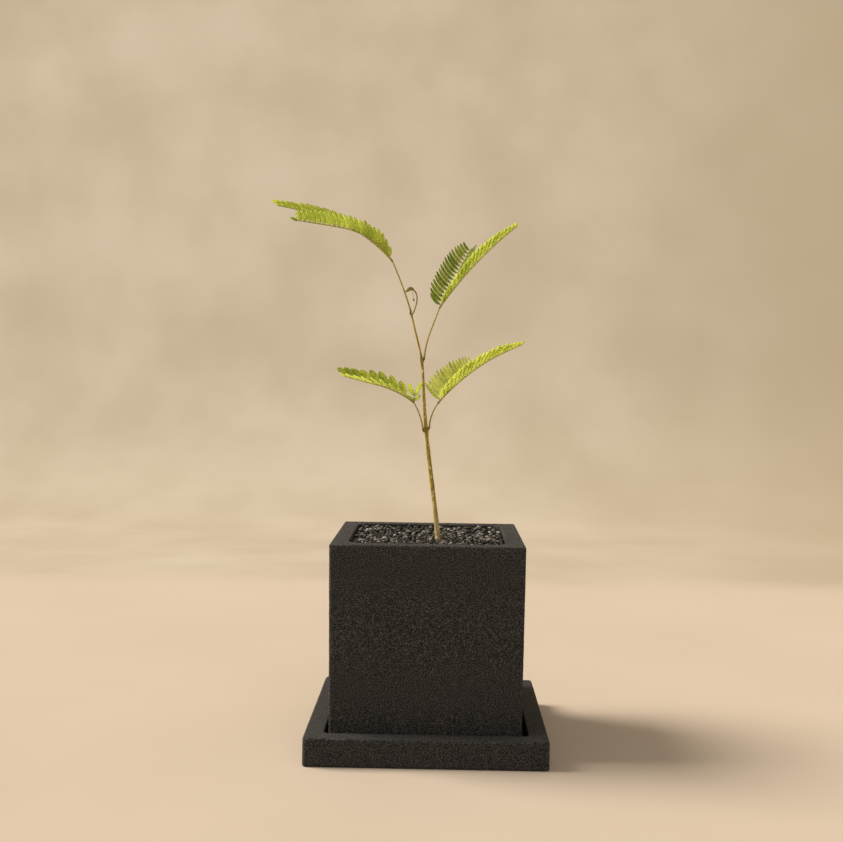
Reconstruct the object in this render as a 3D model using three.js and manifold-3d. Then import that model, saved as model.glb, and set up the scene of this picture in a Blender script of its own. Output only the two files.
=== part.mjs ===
// A seedling of cojoba arborea in a square pot on a square saucer.
// Lengths are millimetres and angles are degrees. The origin is the middle of the saucer's underside,
// +Z is up, and the leaves spread mostly along X.
import * as THREE from 'three';
import { mergeVertices } from 'three/addons/utils/BufferGeometryUtils.js';
import Module from 'manifold-3d';

const wasm = await Module();
wasm.setup();

// Clearance between two pieces of which one is shaped by the other, and how far a cut runs past a face.
const CLEAR = 0.3;
const PAST = 5;
// The sides of a round hole, and the facets of a rounded edge or corner.
const BORE_SIDES = 12;
const ROUND_FACETS = 2;

const SAUCER = { side: 105.6, height: 12.5, rim: 8.5, floor: 6, corner: 1, edge: 0.8, innerCorner: 2 };

const POT = {
  side: 85.3, foot: 83.9, height: 88, wall: 7.6, floor: 8, corner: 0.5, edge: 0.7, innerCorner: 6,
  x: -0.5,
  drainRadius: 5,
  recess: { side: 60, depth: 2 },
  channel: { width: 9, depth: 2 },
};

const NET = { side: 22, corner: 1.5, thickness: 0.8, holes: 3, hole: 5, pitch: 6.3 };

// Heights above the surface that the saucer stands on.
const SOIL_TOP = 85;
// Grains stand on a loose grid, sunk into their bed. Their sizes vary by a share of the mean.
const GRAVEL = {
  bed: 91.9, spacing: 4.9, radius: 2.4, vary: 0.25, squash: 0.8, sunk: 0.8, jitter: 0.9, seed: 7,
};
// The plain hole that the stem and its root stand in.
const HOLE = { x: 4.2, y: -7, low: 41.7, radius: 2 };

// The stem's middle line from the root's tip up to the third node, and its diameter at some heights.
const STEM = {
  route: [
    [4.6, -7, 42], [4.4, -7, 70], [3.9, -7, 91], [2.5, -6.5, 104.5], [0, -5.5, 123.5],
    [-2.3, -4.5, 142.5], [-3.4, -3.8, 156], [-4.8, -2.5, 174.5], [-8.2, -1.5, 189], [-10, -1, 196.2],
  ],
  diameters: [
    [42, 1], [86, 2.6], [92, 2.3], [110, 2], [136, 1.75], [143, 1.65], [158, 1.3], [174.5, 1.05],
    [180, 0.9], [196.2, 0.8],
  ],
  steps: 24,
  sides: 8,
};
// The swollen nodes that the leaves grow from, and how much longer than wide they are.
const NODES = {
  low: { at: [-2.3, -4.5, 142.5], radius: 1.1 },
  middle: { at: [-4.8, -2.5, 174.5], radius: 0.8 },
  high: { at: [-10, -1, 196.2], radius: 0.6 },
};
const NODE_TALL = 1.25;
const NODE_FACETS = [7, 4];

// A shoot leaves at a compass heading (0 is +X, 90 is +Y) and turns by `turn` along its length, while
// its rise above the horizon goes from rise[0] to rise[1] by the share `settle` of that length.
// A petiole starts beside its node, `out` from the stem's middle line and `up` above the node.
// Leaflets stand in pairs on each rachis. Along it, from its base to its tip, `spread` is a
// leaflet's angle to the rachis, `fold` is how far the pair is folded up, and `roll` is how far the
// whole row is turned about the rachis. `lift` turns each leaflet about its own length, and `bend`
// curves its tip forward. `first` is where the first pair stands, and `shares` gives the first
// leaflet's length, the place where the full length is reached, and the last leaflet's length.
// `leaflet` is the full length and width, and `room` replaces ROOM where leaflets stand far apart.
const LEAVES = {
  leaf_lower_left: {
    node: 'low', out: 1.45, up: 0, seed: 11,
    petiole: { heading: 176, rise: [83, 58], length: 13.6 },
    pinnae: [
      {
        heading: 184, rise: [36, 14], settle: 0.55, length: 34, pairs: 8, first: 0.13, leaflet: [7.6, 2.7],
        spread: [48, 34], fold: [42, 40], roll: [-20, -18], lift: 14, bend: 0.06, shares: [0.8, 0.1, 0.95],
      },
      {
        heading: -60, rise: [86, 82], length: 3.6, pairs: 1, first: 0.74, leaflet: [7.2, 2.1],
        spread: [37, 37], fold: [8, 8], roll: [20, 20], lift: 4, bend: 0.04, shares: [1, 0.1, 1],
        room: 2.6,
      },
      {
        heading: -40, rise: [74, 70], length: 1.8, pairs: 1, first: 0.55, leaflet: [3.1, 1.3],
        spread: [42, 42], fold: [20, 20], roll: [12, 12], lift: 4, bend: 0.04, shares: [1, 0.1, 1],
        room: 2.6,
      },
    ],
  },
  leaf_lower_right: {
    node: 'low', out: 1.45, up: 1, seed: 12,
    petiole: { heading: 10, rise: [88, 54], length: 12.3 },
    pinnae: [
      {
        heading: -18, rise: [49, 23], settle: 0.9, length: 47.8, pairs: 19, first: 0.06,
        leaflet: [8.4, 2.2], spread: [44, 29], fold: [62, 54], roll: [0, 0], lift: 18, bend: 0.06,
        shares: [0.62, 0.2, 0.38],
      },
      {
        heading: 62, rise: [35, 26], length: 40, pairs: 15, first: 0.07, leaflet: [8.6, 2],
        spread: [90, 66], fold: [46, 30], roll: [-4, 12], lift: 50, bend: 0.25, shares: [1, 0.05, 0.4],
      },
    ],
  },
  leaf_upper_right: {
    node: 'middle', out: 1.1, up: 1, seed: 13,
    petiole: { heading: 14, rise: [85, 69], settle: 0.55, length: 24.8 },
    pinnae: [
      {
        heading: -22, rise: [53, 36], length: 51.5, pairs: 20, first: 0.06, leaflet: [8, 2.2],
        spread: [44, 29], fold: [66, 54], roll: [0, 0], lift: 18, bend: 0.06, shares: [0.6, 0.25, 0.36],
      },
      {
        heading: 60, rise: [48, 44], length: 42, pairs: 17, first: 0.05, leaflet: [8.8, 2.2],
        spread: [90, 82], fold: [46, 28], roll: [-6, 12], lift: 24, bend: 0.4, shares: [0.85, 0.12, 0.5],
      },
    ],
  },
  leaf_top: {
    node: 'high', out: 0.2, up: 1, seed: 14,
    petiole: { heading: 184, rise: [73, 65], length: 24.8 },
    pinnae: [
      {
        heading: 202, turn: -12, rise: [53, 7], settle: 0.6, length: 49, pairs: 21, first: 0.05,
        leaflet: [7.9, 2.1], spread: [38, 72], fold: [62, 58], roll: [0, 0], lift: 18, bend: 0.04,
        shares: [0.4, 0.14, 0.6],
      },
      {
        heading: 157, turn: 10, rise: [42, 15], settle: 0.75, length: 66, pairs: 22, first: 0.08,
        leaflet: [7.8, 2.1], spread: [48, 34], fold: [56, 50], roll: [0, 0], lift: 18, bend: 0.06,
        shares: [0.5, 0.2, 0.55],
      },
    ],
  },
};
const LEAFLET_THICK = 0.6;
// The share of the room to its neighbour that a leaflet fills.
const ROOM = 0.86;
// Leaflets shorten past `from` along the pinna, faster towards its tip by the power `curve`. A short
// leaflet is narrower too, and `keep` is how much wider than in proportion it stays.
const SHORTEN = { from: 0.6, curve: 1.6, keep: 1.15 };
// The corners of one leaflet, on its rear edge and its front edge by turns, then its tip: how far along
// it, and how far across it as a share of its width.
const LEAFLET_EDGE = [[0.3, -0.5], [0.3, 0.5], [0.78, -0.4], [0.78, 0.44], [1, 0.06]];
// A petiole's radius, and the width of a pinna's rib, at the base and at the tip.
const PETIOLE = { radius: [0.42, 0.3], steps: 8, sides: 6 };
const RIB = [0.8, 0.6];
const PINNA_STEPS = 16;
// How unevenly the leaflets of a pinna stand.
const WOBBLE = { fold: 4, spread: 2 };

// The young leaf: a brown petiole that curls over and ends in a folded bud.
const YOUNG = {
  node: 'high', out: 1, up: 0.4, shoot: { heading: 20, rise: [70, 178], ease: 2.6, length: 13.3 },
  steps: 14, radius: [0.36, 0.3],
  bud: { length: 4, radius: 0.85, rise: 216, overlap: 0.3, facets: [8, 6] },
};

function material(color, roughness) {
  return new THREE.MeshStandardMaterial({ color, roughness, metalness: 0 });
}

const MATERIALS = {
  ceramic: material('#2f2b26', 0.9),
  soil: material('#3a2c1f', 1),
  gravel: material('#4c463d', 0.95),
  net: material('#1c1c1c', 0.6),
  bark: material('#b19053', 0.75),
  leaf: material('#8f9a2c', 0.55),
  young: material('#6b4a20', 0.7),
};

// Numbers from 0 to 1 that are the same for the same seed.
function seeded(seed) {
  const modulus = 2147483647;
  const factor = 16807;
  let state = seed * factor;
  return () => {
    state = (state * factor) % modulus;
    return state / modulus;
  };
}

// A number from -1 to 1.
function either(random) {
  return random() * 2 - 1;
}

function mix(pair, t) {
  return pair[0] + (pair[1] - pair[0]) * t;
}

// Solids in and out of the boolean library.

function solid(geometry) {
  const bare = geometry.clone();
  bare.deleteAttribute('normal');
  bare.deleteAttribute('uv');
  const merged = mergeVertices(bare, 1e-5);
  return new wasm.Manifold(new wasm.Mesh({
    numProp: 3,
    vertProperties: new Float32Array(merged.attributes.position.array),
    triVerts: new Uint32Array(merged.index.array),
  }));
}

function joined(solids) {
  let row = solids;
  while (row.length > 1) {
    const next = [];
    for (let i = 0; i < row.length; i += 2) {
      next.push(i + 1 < row.length ? row[i].add(row[i + 1]) : row[i]);
    }
    row = next;
  }
  return row[0];
}

function mesh(name, body, look) {
  const { vertProperties, triVerts } = body.getMesh();
  const geometry = new THREE.BufferGeometry();
  geometry.setAttribute('position', new THREE.BufferAttribute(new Float32Array(vertProperties), 3));
  geometry.setIndex(new THREE.BufferAttribute(new Uint32Array(triVerts), 1));
  geometry.computeVertexNormals();
  const piece = new THREE.Mesh(geometry, look);
  piece.name = name;
  return piece;
}

// Square blocks.

function square(side, corner) {
  const shape = new THREE.Shape();
  const h = side / 2;
  const c = h - corner;
  shape.moveTo(-c, -h);
  shape.lineTo(c, -h);
  shape.absarc(c, -c, corner, -Math.PI / 2, 0);
  shape.lineTo(h, c);
  shape.absarc(c, c, corner, 0, Math.PI / 2);
  shape.lineTo(-c, h);
  shape.absarc(-c, c, corner, Math.PI / 2, Math.PI);
  shape.lineTo(-h, -c);
  shape.absarc(-c, -c, corner, Math.PI, Math.PI * 1.5);
  return shape;
}

// A square block between two heights, with rounded corners and, where `edge` is given, rounded edges.
function block({ side, low, high, corner, edge = 0, x = 0 }) {
  const geometry = new THREE.ExtrudeGeometry(square(side - 2 * edge, corner), {
    depth: high - low - 2 * edge,
    bevelEnabled: edge > 0,
    bevelSize: edge,
    bevelThickness: edge,
    bevelSegments: ROUND_FACETS,
    curveSegments: ROUND_FACETS,
  });
  geometry.translate(x, 0, low + edge);
  return geometry;
}

function upright(radius, low, high, x, y) {
  const geometry = new THREE.CylinderGeometry(radius, radius, high - low, BORE_SIDES);
  geometry.rotateX(Math.PI / 2);
  geometry.translate(x, y, (low + high) / 2);
  return geometry;
}

function saucer() {
  const { side, height, rim, floor, corner, edge, innerCorner } = SAUCER;
  const outside = solid(block({ side, low: 0, high: height, corner, edge }));
  const recess = block({ side: side - 2 * rim, low: floor, high: height + PAST, corner: innerCorner });
  return outside.subtract(solid(recess));
}

const POT_LOW = SAUCER.floor;
const POT_HIGH = POT_LOW + POT.height;
const POT_INSIDE = POT_LOW + POT.floor;

// The share of the pot's full width at a height: it tapers a little towards its foot.
function taper(z) {
  return (POT.foot + (POT.side - POT.foot) * (z - POT_LOW) / POT.height) / POT.side;
}

function tapered(geometry) {
  const place = geometry.attributes.position;
  for (let i = 0; i < place.count; i += 1) {
    const share = taper(place.getZ(i));
    place.setXY(i, place.getX(i) * share, place.getY(i) * share);
  }
  geometry.translate(POT.x, 0, 0);
  return geometry;
}

// The pot's inside between two heights, made smaller by a clearance on each side.
function potFill(low, high, clear = 0) {
  const side = POT.side - 2 * POT.wall - 2 * clear;
  return solid(tapered(block({ side, low, high, corner: POT.innerCorner - clear })));
}

function pot() {
  const { side, corner, edge, drainRadius, recess, channel } = POT;
  const outside = solid(tapered(block({ side, low: POT_LOW, high: POT_HIGH, corner, edge })));
  const under = block({
    side: recess.side, low: POT_LOW - PAST, high: POT_LOW + recess.depth, corner: POT.innerCorner, x: POT.x,
  });
  const across = new THREE.BoxGeometry(channel.width, side + 2 * PAST, channel.depth * 2);
  across.translate(POT.x, 0, POT_LOW);
  return outside
    .subtract(potFill(POT_INSIDE, POT_HIGH + PAST))
    .subtract(solid(under))
    .subtract(solid(across))
    .subtract(solid(upright(drainRadius, POT_LOW - PAST, POT_INSIDE + PAST, POT.x, 0)));
}

function drainNet() {
  const { side, corner, thickness, holes, hole, pitch } = NET;
  let net = solid(block({ side, low: POT_INSIDE, high: POT_INSIDE + thickness, corner, x: POT.x }));
  const middle = (holes - 1) / 2;
  for (let i = 0; i < holes; i += 1) {
    for (let j = 0; j < holes; j += 1) {
      const cut = new THREE.BoxGeometry(hole, hole, PAST);
      cut.translate(POT.x + (i - middle) * pitch, (j - middle) * pitch, POT_INSIDE);
      net = net.subtract(solid(cut));
    }
  }
  return net;
}

// The stem.

const stemCurve = new THREE.CatmullRomCurve3(STEM.route.map((p) => new THREE.Vector3(...p)));

function stemRadius(z) {
  const rows = STEM.diameters;
  let i = 1;
  while (i < rows.length - 1 && z > rows[i][0]) i += 1;
  const [lowZ, lowD] = rows[i - 1];
  const [highZ, highD] = rows[i];
  const t = THREE.MathUtils.clamp((z - lowZ) / (highZ - lowZ), 0, 1);
  return (lowD + (highD - lowD) * t) / 2;
}

// A closed round tube along points, with a radius given for each point.
function tube(points, radii, sides) {
  const steps = points.length - 1;
  const geometry = new THREE.CylinderGeometry(1, 1, steps, sides, steps);
  const place = geometry.attributes.position;
  const frames = points.map((p, i) => {
    const ahead = points[Math.min(i + 1, steps)].clone().sub(points[Math.max(i - 1, 0)]).normalize();
    const side = new THREE.Vector3(0, 1, 0).cross(ahead).normalize();
    return { side, over: ahead.clone().cross(side) };
  });
  for (let i = 0; i < place.count; i += 1) {
    const step = Math.round(place.getY(i) + steps / 2);
    const { side, over } = frames[step];
    const at = points[step].clone()
      .addScaledVector(side, place.getX(i) * radii[step])
      .addScaledVector(over, -place.getZ(i) * radii[step]);
    place.setXYZ(i, at.x, at.y, at.z);
  }
  return geometry;
}

function stem() {
  const points = stemCurve.getSpacedPoints(STEM.steps);
  const trunk = tube(points, points.map((p) => stemRadius(p.z)), STEM.sides);
  const collars = Object.values(NODES).map(({ at, radius }) => {
    const knot = new THREE.SphereGeometry(radius, ...NODE_FACETS);
    knot.rotateX(Math.PI / 2);
    knot.scale(1, 1, NODE_TALL);
    knot.translate(...at);
    return solid(knot);
  });
  return joined([solid(trunk), ...collars]);
}

function stemHole() {
  return solid(upright(HOLE.radius, HOLE.low, POT_HIGH + PAST, HOLE.x, HOLE.y));
}

function soil() {
  const pocket = block({
    side: NET.side + 2 * CLEAR, low: POT_INSIDE - PAST, high: POT_INSIDE + NET.thickness + CLEAR,
    corner: NET.corner, x: POT.x,
  });
  return potFill(POT_INSIDE, SOIL_TOP, CLEAR).subtract(solid(pocket)).subtract(stemHole());
}

function grain(random) {
  const { radius, vary, squash } = GRAVEL;
  const stone = new THREE.OctahedronGeometry(1, 0);
  const angles = [random(), random(), random()].map((share) => share * 2 * Math.PI);
  stone.applyMatrix4(new THREE.Matrix4().makeRotationFromEuler(new THREE.Euler(...angles)));
  const wide = radius * (1 + vary * either(random));
  stone.scale(wide, wide * (1 + vary * either(random)), wide * squash);
  return stone;
}

// Grains of lava grit stand out of one bed.
function gravel() {
  const random = seeded(GRAVEL.seed);
  const { bed, spacing, sunk, jitter } = GRAVEL;
  const count = Math.floor((POT.side / 2 - POT.wall) / spacing);
  const grains = [potFill(SOIL_TOP, bed, CLEAR)];
  for (let i = -count; i <= count; i += 1) {
    for (let j = -count; j <= count; j += 1) {
      const stone = grain(random);
      const x = POT.x + i * spacing + jitter / 2 * either(random);
      const y = j * spacing + jitter / 2 * either(random);
      stone.translate(x, y, bed - sunk * random());
      grains.push(solid(stone));
    }
  }
  return joined(grains).intersect(potFill(SOIL_TOP, POT_HIGH, CLEAR)).subtract(stemHole());
}

// Shoots and leaflets.

function direction(heading, rise) {
  const a = THREE.MathUtils.degToRad(heading);
  const e = THREE.MathUtils.degToRad(rise);
  return new THREE.Vector3(Math.cos(e) * Math.cos(a), Math.cos(e) * Math.sin(a), Math.sin(e));
}

function headingAt({ heading, turn = 0 }, t) {
  return heading + turn * t;
}

function riseAt({ rise, settle = 1, ease = 1 }, t) {
  return mix(rise, Math.min(t / settle, 1) ** ease);
}

function grow(start, shoot, steps) {
  const points = [start.clone()];
  for (let i = 0; i < steps; i += 1) {
    const t = (i + 0.5) / steps;
    const ahead = direction(headingAt(shoot, t), riseAt(shoot, t));
    points.push(points[i].clone().addScaledVector(ahead, shoot.length / steps));
  }
  return points;
}

// A shoot's own axes: along it, to its left, and up out of the plane of its leaflets.
function axesAt(shoot, t, roll) {
  const heading = headingAt(shoot, t);
  const along = direction(heading, riseAt(shoot, t));
  const level = direction(heading + 90, 0);
  const above = along.clone().cross(level);
  const r = THREE.MathUtils.degToRad(roll);
  const left = level.clone().multiplyScalar(Math.cos(r)).addScaledVector(above, Math.sin(r));
  return { along, left, above: along.clone().cross(left) };
}

function shootTube(points, radii, sides) {
  const last = points.length - 1;
  return tube(points, points.map((p, i) => mix(radii, i / last)), sides);
}

// A leaflet's share of the pinna's full leaflet length, by its place along the pinna.
function lengthShare([first, fullBy, last], t) {
  if (t < fullBy) return mix([first, 1], t / fullBy);
  return mix([1, last], Math.max(0, (t - SHORTEN.from) / (1 - SHORTEN.from)) ** SHORTEN.curve);
}

// The axes of one leaflet: along it, across it towards the pinna's tip, and out of its upper face.
function leafletAxes(shape, t, side, random) {
  const { along, left, above } = axesAt(shape, t, mix(shape.roll, t));
  const fold = THREE.MathUtils.degToRad(mix(shape.fold, t) + WOBBLE.fold / 2 * either(random));
  const spread = THREE.MathUtils.degToRad(mix(shape.spread, t) + WOBBLE.spread / 2 * either(random));
  const lift = THREE.MathUtils.degToRad(shape.lift);
  const out = left.clone().multiplyScalar(side * Math.cos(fold)).addScaledVector(above, Math.sin(fold));
  const face = above.clone().multiplyScalar(Math.cos(fold)).addScaledVector(left, -side * Math.sin(fold));
  const ahead = along.clone().multiplyScalar(Math.cos(spread)).addScaledVector(out, Math.sin(spread));
  const front = along.clone().multiplyScalar(Math.sin(spread)).addScaledVector(out, -Math.cos(spread));
  const across = front.clone().multiplyScalar(Math.cos(lift)).addScaledVector(face, Math.sin(lift));
  const normal = face.clone().multiplyScalar(Math.cos(lift)).addScaledVector(front, -Math.sin(lift));
  return { ahead, across, normal, spread };
}

// A closed skin of flat faces whose every corner is a pair of points, on the upper face and on the
// lower face, so that both faces are split into triangles alike.
class Skin {
  constructor() {
    this.points = [];
    this.index = [];
  }

  corner(at, normal) {
    for (const way of [1, -1]) this.points.push(at.clone().addScaledVector(normal, way * LEAFLET_THICK / 2));
    return this.points.length / 2 - 1;
  }

  // A triangle of corners, anticlockwise from above unless it is turned over.
  face(a, b, c, turned) {
    const [q, r] = turned ? [c, b] : [b, c];
    this.index.push(2 * a, 2 * q, 2 * r, 2 * a + 1, 2 * r + 1, 2 * q + 1);
  }

  wall(a, b, turned) {
    const [p, q] = turned ? [b, a] : [a, b];
    this.index.push(2 * q, 2 * p, 2 * p + 1, 2 * q, 2 * p + 1, 2 * q + 1);
  }

  solid() {
    const geometry = new THREE.BufferGeometry().setFromPoints(this.points);
    geometry.setIndex(this.index);
    return solid(geometry);
  }
}

// A leaflet grows out of the rib between two of its corners.
function addLeaflet(skin, shape, t, side, root, rear, front, random) {
  const { ahead, across, normal, spread } = leafletAxes(shape, t, side, random);
  const share = lengthShare(shape.shares, t);
  const length = shape.leaflet[0] * share;
  const room = bayLength(shape) * Math.sin(spread) * (shape.room ?? ROOM);
  const width = Math.min(shape.leaflet[1] * Math.min(1, share * SHORTEN.keep), room);
  const [rearLow, frontLow, rearHigh, frontHigh, tip] = LEAFLET_EDGE.map(([a, b]) => skin.corner(root.clone()
    .addScaledVector(ahead, a * length)
    .addScaledVector(across, b * width + shape.bend * length * a * a), normal));
  const turned = side < 0;
  skin.face(rear, front, frontLow, turned);
  skin.face(rear, frontLow, rearLow, turned);
  skin.face(rearLow, frontLow, frontHigh, turned);
  skin.face(rearLow, frontHigh, rearHigh, turned);
  skin.face(rearHigh, frontHigh, tip, turned);
  const rim = [front, frontLow, frontHigh, tip, rearHigh, rearLow, rear];
  for (let i = 0; i + 1 < rim.length; i += 1) skin.wall(rim[i], rim[i + 1], turned);
}

// The length of rib that each pair of leaflets stands on.
function bayLength(shape) {
  return shape.length * (1 - shape.first) / (shape.pairs - 0.5);
}

// A pinna is a flat rib, first bare and then in bays, with a pair of leaflets cut to it in each bay.
// The rib's two edges are folded up like the leaflets, so that these leave it without a twist.
function pinna(start, shape, random) {
  const route = new THREE.CatmullRomCurve3(grow(start, shape, PINNA_STEPS));
  const bay = bayLength(shape) / shape.length;
  const bare = shape.first - bay / 2;
  const stations = [0, bare / 2];
  for (let k = 0; k <= shape.pairs; k += 1) stations.push(Math.min(bare + k * bay, 1));
  const skin = new Skin();
  const edge = (t, side) => {
    const { left } = axesAt(shape, t, mix(shape.roll, t));
    return route.getPoint(t).addScaledVector(left, side * mix(RIB, t) / 2);
  };
  const sides = [1, -1];
  const ribs = stations.map((t) => {
    const { left, above } = axesAt(shape, t, mix(shape.roll, t));
    const fold = THREE.MathUtils.degToRad(mix(shape.fold, t));
    return sides.map((side) => skin.corner(edge(t, side), above.clone().multiplyScalar(Math.cos(fold))
      .addScaledVector(left, -side * Math.sin(fold))));
  });
  const last = ribs.length - 1;
  skin.wall(ribs[0][0], ribs[0][1], false);
  skin.wall(ribs[last][1], ribs[last][0], false);
  for (let s = 0; s < last; s += 1) {
    const [rear, front] = [ribs[s], ribs[s + 1]];
    skin.face(rear[1], front[1], front[0], false);
    skin.face(rear[1], front[0], rear[0], false);
    const t = (stations[s] + stations[s + 1]) / 2;
    sides.forEach((side, i) => {
      if (t < bare) skin.wall(front[i], rear[i], side < 0);
      else addLeaflet(skin, shape, t, side, edge(t, side), rear[i], front[i], random);
    });
  }
  return skin.solid();
}

function shootStart(node, heading, out, up) {
  return new THREE.Vector3(...NODES[node].at)
    .addScaledVector(direction(heading, 0), out)
    .add(new THREE.Vector3(0, 0, up));
}

function leaf(shape) {
  const random = seeded(shape.seed);
  const start = shootStart(shape.node, shape.petiole.heading, shape.out, shape.up);
  const stalk = grow(start, shape.petiole, PETIOLE.steps);
  const pieces = [solid(shootTube(stalk, PETIOLE.radius, PETIOLE.sides))];
  for (const each of shape.pinnae) pieces.push(pinna(stalk[stalk.length - 1], each, random));
  return joined(pieces);
}

function youngLeaf() {
  const { node, out, up, shoot, steps, radius, bud } = YOUNG;
  const points = grow(shootStart(node, shoot.heading, out, up), shoot, steps);
  const fold = new THREE.SphereGeometry(1, ...bud.facets);
  fold.scale(bud.length / 2, bud.radius, bud.radius);
  const ahead = direction(shoot.heading, bud.rise);
  const level = direction(shoot.heading + 90, 0);
  const frame = new THREE.Matrix4().makeBasis(ahead, level, ahead.clone().cross(level));
  const middle = points[steps].clone().addScaledVector(ahead, bud.length / 2 - bud.overlap);
  fold.applyMatrix4(frame.setPosition(middle));
  return joined([solid(shootTube(points, radius, PETIOLE.sides)), solid(fold)]);
}

const group = new THREE.Group();
group.add(mesh('saucer', saucer(), MATERIALS.ceramic));
group.add(mesh('pot', pot(), MATERIALS.ceramic));
group.add(mesh('drain_net', drainNet(), MATERIALS.net));
group.add(mesh('soil', soil(), MATERIALS.soil));
group.add(mesh('gravel', gravel(), MATERIALS.gravel));
group.add(mesh('stem', stem(), MATERIALS.bark));
for (const [name, shape] of Object.entries(LEAVES)) group.add(mesh(name, leaf(shape), MATERIALS.leaf));
group.add(mesh('young_leaf', youngLeaf(), MATERIALS.young));

export default group;
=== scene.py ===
# The looks of a potted cojoba arborea seedling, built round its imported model.
# Lengths are millimetres and angles are degrees. Each mesh is turned into metres as it is stored.
import math
from types import SimpleNamespace as Sizes

import bmesh
import bpy
import numpy as np
from mathutils import Matrix, Vector, noise


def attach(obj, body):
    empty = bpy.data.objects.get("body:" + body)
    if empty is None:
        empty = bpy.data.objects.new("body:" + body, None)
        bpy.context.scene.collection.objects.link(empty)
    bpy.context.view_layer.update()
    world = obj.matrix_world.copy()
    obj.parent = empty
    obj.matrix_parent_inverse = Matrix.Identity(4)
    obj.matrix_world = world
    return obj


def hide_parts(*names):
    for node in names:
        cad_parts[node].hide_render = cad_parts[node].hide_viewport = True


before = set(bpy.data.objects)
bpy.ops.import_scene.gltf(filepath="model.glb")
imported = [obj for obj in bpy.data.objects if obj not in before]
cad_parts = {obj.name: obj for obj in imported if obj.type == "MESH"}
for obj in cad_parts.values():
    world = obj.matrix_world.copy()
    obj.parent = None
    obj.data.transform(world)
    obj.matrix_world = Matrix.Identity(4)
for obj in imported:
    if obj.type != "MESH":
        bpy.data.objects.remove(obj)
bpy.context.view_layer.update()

MM = 0.001

# The camera that took the photograph, with its focal length and picture width in pixels.
CAMERA = Sizes(place=(4.5, -547.9, 164.7), down=1.9, left=0.95, roll=0.79, focal_px=1176.5, width_px=843)
# The floor goes from `near` to `far` and bends up into a wall, from an angle in radians.
STAGE = Sizes(half_width=2500, near=-3000, far=750, bend=250, bend_from=0.1, steps=12, top=1600)

# `sand_from` is where the sand relief begins and where it is full, above the foot of the piece.
SAUCER = Sizes(side=105.6, height=12.5, rim=8.5, floor=6, corner=1, edge=0.8, inner_corner=2, lip=0.6,
               corner_points=6, sand_from=(1, 2.5))
POT = Sizes(side=85.3, foot=83.9, height=88, wall=7.6, floor=8, corner=0.5, edge=0.7, inner_corner=6,
            lip=0.5, corner_points=4, sand_from=(2, 5), x=-0.5, drain=5, recess_side=60, recess_depth=2,
            channel=9)
POT_LOW = SAUCER.floor
POT_HIGH = POT_LOW + POT.height
POT_INSIDE = POT_LOW + POT.floor
POT_RECESS = POT_LOW + POT.recess_depth
# The sand texture of the ceramic: its mesh step, and the depth of its fine and wide relief.
SAND = Sizes(step=0.7, fine=0.06, wide=0.05, wide_size=3.5, seed=5)

# Lava grit. Grains lie from `low` up to `top`, which rises by `mound` towards the back, `clear` of the
# pot and `round_stem` off the stem's middle line. The lowest of so many `tries` is taken, `pack` is how
# closely grains meet, and a higher `small` makes more small ones. A grain is `proud` of the top by that
# share of its radius at most, and others that reach `cover` above it hide it. Painted shade darkens it
# downwards between two heights from `top` (`gloom`), deep in the heap, and between two from its middle
# in radii (`cap`), on its lower side.
GRIT = Sizes(low=88.6, top=93.2, mound=0.8, radius=(0.75, 2.0), small=1.4, pack=0.86, tries=16, most=3600,
             clear=0.3, round_stem=1.25, proud=0.2, cover=0.4, tones=(0.08, 0.4, 0.9),
             tone_shares=(0.62, 0.24, 0.14), tone_off=(-0.08, 0.1), gloom=(-2.6, -0.6), cap=(0.2, 0.9),
             seed=3)
# A grain is a ball with flattened sides and a rough skin, then squashed.
GRAIN = Sizes(flats=7, flat_from=0.45, size=1.32, flat=0.09, rough=(0.9, 1.08), squash=(0.75, 1.1))
# The fine grit under the grains is made of rings that shrink to the share `inmost`. Its low `open`
# paints it nearly black as shade.
BED = Sizes(low=85.3, side_points=40, corner_points=4, rings=34, inmost=0.03, rough=1.4, tone=0.05,
            open=0.1)

# The stem's middle line, its diameter at some heights, and its bark's relief as shares of its radius.
STEM = Sizes(
    route=[
        (4.6, -7, 42), (4.4, -7, 70), (3.9, -7, 91), (2.5, -6.5, 104.5), (0, -5.5, 123.5),
        (-2.3, -4.5, 142.5), (-3.4, -3.8, 156), (-4.8, -2.5, 174.5), (-8.2, -1.5, 189),
        (-10, -1, 196.2),
    ],
    diameters=[
        (42, 1), (86, 2.8), (92, 2.5), (110, 2.05), (136, 1.75), (143, 1.65), (158, 1.3), (174.5, 1.05),
        (180, 0.9), (196.2, 0.8),
    ],
    steps=300, sides=20, uneven=0.07, ridges=0.06,
)
STEM_IN_GRIT = STEM.route[2][:2]
# Pale raised specks low on the bark, whose widths are turns in radians.
SPECKS = Sizes(count=70, heights=(92, 170), tall=(0.35, 0.8), turn=(0.25, 0.4), proud=0.07, seed=21)
NODES = {
    "low": Sizes(at=(-2.3, -4.5, 142.5), radius=1.1),
    "middle": Sizes(at=(-4.8, -2.5, 174.5), radius=0.8),
    "high": Sizes(at=(-10, -1, 196.2), radius=0.6),
}
# How tall a node's swelling is, and how dark, how high up and how tall its ring is.
NODE = Sizes(tall=1.5, dark=0.5, dark_above=0.6, dark_tall=1.1)


def shoot(**own):
    """A petiole, pinna or young leaf with values of its own, and plain ones for the rest."""
    plain = dict(turn=0, settle=1, ease=1, roll=(0, 0), folded=(0, 0), longer=(1, 1), wider=(1, 1),
                 shorten=0.6, curve=1.6, keep=1.15, even=1, bud=0)
    return Sizes(**{**plain, **own})
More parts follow.
